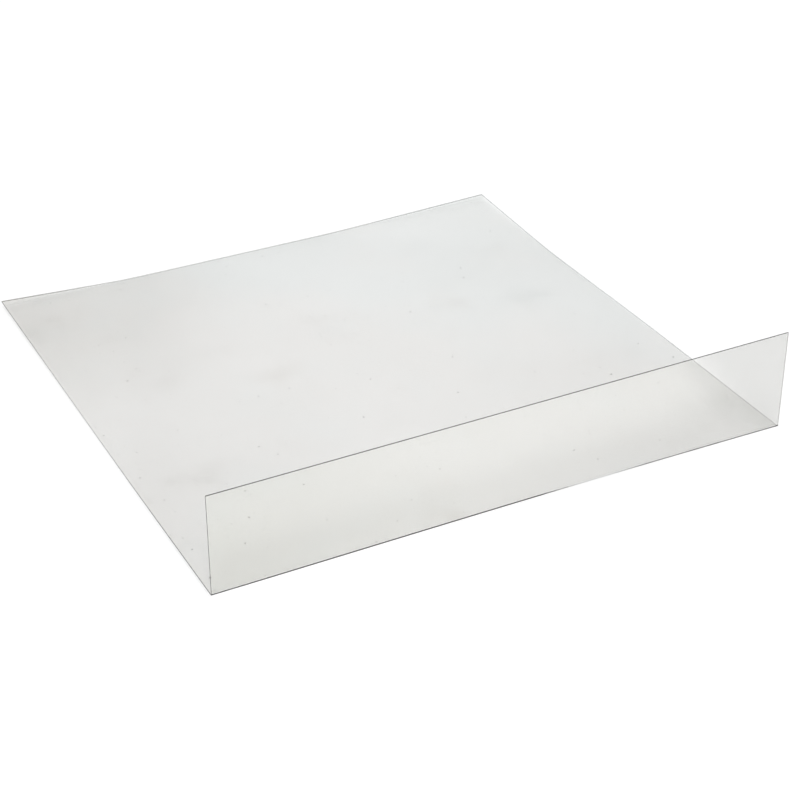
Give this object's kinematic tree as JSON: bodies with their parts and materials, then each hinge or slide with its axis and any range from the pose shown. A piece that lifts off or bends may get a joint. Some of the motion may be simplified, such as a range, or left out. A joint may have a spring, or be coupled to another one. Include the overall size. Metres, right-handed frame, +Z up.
{
  "type": "sneeze guard",
  "caption": "Clear plastic sheet with one right-angle bend: a large flat panel with a short upright lip along its front edge, to shield food on a counter.",
  "frame": {"origin": "centre of the footprint, on the surface that the panel's underside rests on", "axes": "+X along the bend, +Y from the lip towards the panel's back edge, +Z up, the way the lip stands"},
  "size_m": [0.58, 0.57, 0.1],
  "materials": {
    "clear_sheet": "clear colourless sheet, glossy on both faces, with plain cut edges that read grey"
  },
  "bodies": {
    "root": {"guard_sheet": "clear_sheet"}
  },
  "joints": []
}
